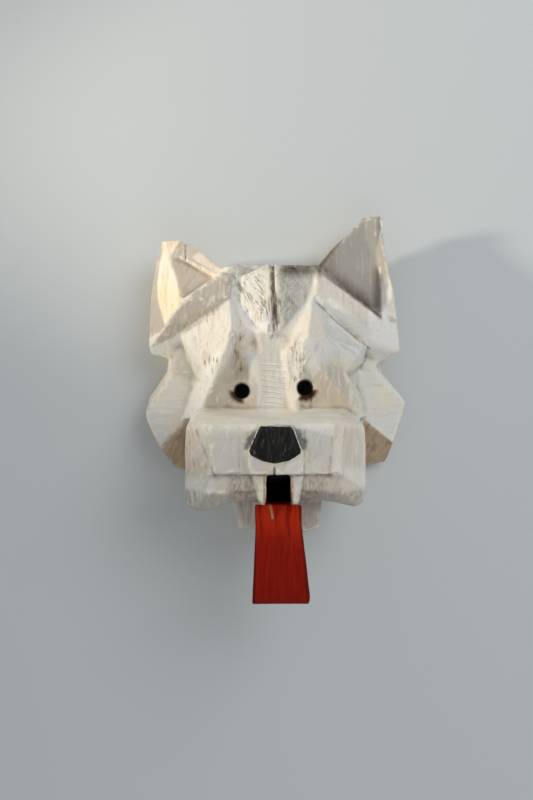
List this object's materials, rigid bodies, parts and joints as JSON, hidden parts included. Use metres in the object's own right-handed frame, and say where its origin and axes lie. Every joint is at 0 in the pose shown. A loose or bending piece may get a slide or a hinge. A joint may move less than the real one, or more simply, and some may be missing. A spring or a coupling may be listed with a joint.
{
  "type": "carved dog mask",
  "caption": "Carved and painted wooden dog mask with faceted fur, drilled eyes, a black nose and a flat red tongue board, hollow behind for the wearer's face.",
  "frame": {"origin": "under the middle of the mask's outline, in the plane of the back rim that it lies on", "axes": "+X towards the viewer's right, +Y up the face from the tongue to the ears, +Z out of the face"},
  "size_m": [0.273, 0.385, 0.161],
  "materials": {
    "white_painted_wood": "thin matt white paint, brushed and worn to bare wood on the ridges",
    "red_painted_wood": "satin red paint with streaks along the board"
  },
  "bodies": {
    "root": {"head": "white_painted_wood", "tongue": "red_painted_wood"}
  },
  "joints": []
}
